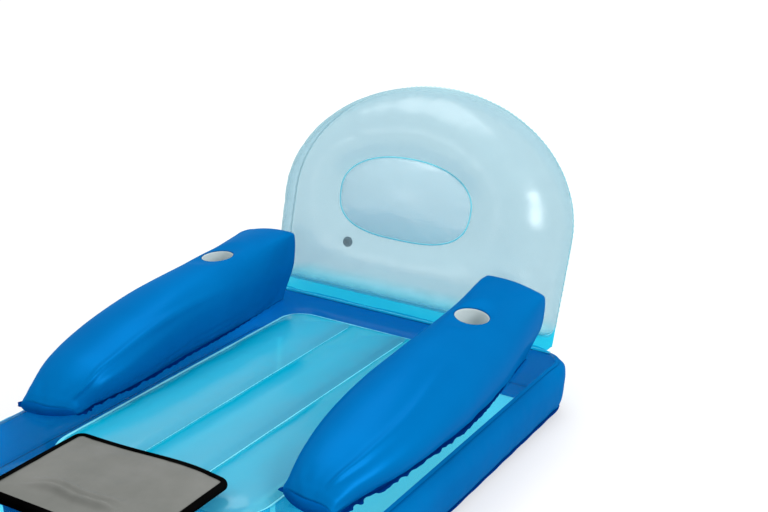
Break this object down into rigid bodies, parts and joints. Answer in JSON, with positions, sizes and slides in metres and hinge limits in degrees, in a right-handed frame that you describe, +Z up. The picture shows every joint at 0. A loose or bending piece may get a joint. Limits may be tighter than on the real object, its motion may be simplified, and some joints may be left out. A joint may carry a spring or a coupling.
{
  "type": "pool air mattress",
  "caption": "Inflatable pool lounge with armrests, cup wells, an arched backrest with a pillow, and a lidded cooler in the foot end.",
  "frame": {"origin": "middle of the flat underside, on the surface that it lies on", "axes": "+Z up, +Y from the foot end towards the backrest, +X to the right seen from the foot end"},
  "size_m": [0.8434, 1.7976, 0.6523],
  "materials": {
    "clear_turquoise_film": "clear gloss",
    "royal_blue_film": "satin",
    "pale_film": "satin",
    "pale_backrest_film": "clear gloss",
    "cup_well_film": "satin",
    "lid_fabric": "coated",
    "binding_tape": "woven",
    "foil_lining": "silvered",
    "foam": "foamed",
    "valve_vinyl": "moulded"
  },
  "bodies": {
    "base": {"top_film": "clear_turquoise_film", "side_band": "royal_blue_film", "bottom_film": "pale_film", "seat_web_front": "clear_turquoise_film", "seat_web_rear": "clear_turquoise_film", "seat_web_left": "clear_turquoise_film", "seat_web_right": "clear_turquoise_film", "seat_channel_web_left": "clear_turquoise_film", "seat_channel_web_right": "clear_turquoise_film", "foot_web_front": "clear_turquoise_film", "foot_web_rear": "clear_turquoise_film", "foot_web_left": "clear_turquoise_film", "foot_web_right": "clear_turquoise_film", "foot_channel_web_left": "clear_turquoise_film", "foot_channel_web_right": "clear_turquoise_film", "cooler_shell": "royal_blue_film", "cooler_insulation": "foam", "cooler_liner": "foil_lining", "cooler_rim_binding": "binding_tape", "cooler_hinge_tape": "binding_tape", "armrest_skin_left": "royal_blue_film", "armrest_skin_right": "royal_blue_film", "armrest_base_left": "royal_blue_film", "armrest_base_right": "royal_blue_film", "armrest_front_panel_left": "royal_blue_film", "armrest_front_panel_right": "royal_blue_film", "armrest_rear_panel_left": "royal_blue_film", "armrest_rear_panel_right": "royal_blue_film", "cup_well_left": "cup_well_film", "cup_well_right": "cup_well_film", "backrest_weld_strip": "clear_turquoise_film", "base_valve_body": "valve_vinyl", "armrest_left_valve_body": "valve_vinyl", "armrest_right_valve_body": "valve_vinyl"},
    "lid": {"cooler_lid_cover": "lid_fabric", "cooler_lid_foam": "foam", "cooler_lid_lining": "foil_lining", "cooler_lid_binding": "binding_tape"},
    "backrest": {"backrest_front_film": "pale_backrest_film", "backrest_rear_film": "pale_backrest_film", "backrest_pillow": "pale_backrest_film", "backrest_foot_band": "clear_turquoise_film", "backrest_valve_body": "valve_vinyl"},
    "base_plug": {"base_valve_plug": "valve_vinyl"},
    "left_plug": {"armrest_left_valve_plug": "valve_vinyl"},
    "right_plug": {"armrest_right_valve_plug": "valve_vinyl"},
    "backrest_plug": {"backrest_valve_plug": "valve_vinyl"}
  },
  "joints": [
    {"name": "lid_hinge", "type": "hinge", "parent": "base", "child": "lid", "pos_m": [0, -0.4184, 0.1734], "axis": [1, 0, 0], "range_deg": [0, 165]},
    {"name": "backrest_recline", "type": "hinge", "parent": "base", "child": "backrest", "pos_m": [0, 0.8066, 0.1206], "axis": [-1, 0, 0], "range_deg": [-10, 20], "stiffness_Nm_per_rad": 30, "springref_deg": -0.34},
    {"name": "base_plug_pull", "type": "slide", "parent": "base", "child": "base_plug", "axis": [-1, 0, 0], "range_m": [0, 0.012]},
    {"name": "left_plug_pull", "type": "slide", "parent": "base", "child": "left_plug", "axis": [0, 1, 0], "range_m": [0, 0.012]},
    {"name": "right_plug_pull", "type": "slide", "parent": "base", "child": "right_plug", "axis": [0, 1, 0], "range_m": [0, 0.012]},
    {"name": "backrest_plug_pull", "type": "slide", "parent": "backrest", "child": "backrest_plug", "axis": [-0.0884, 0.9605, -0.2638], "range_m": [0, 0.012]}
  ]
}
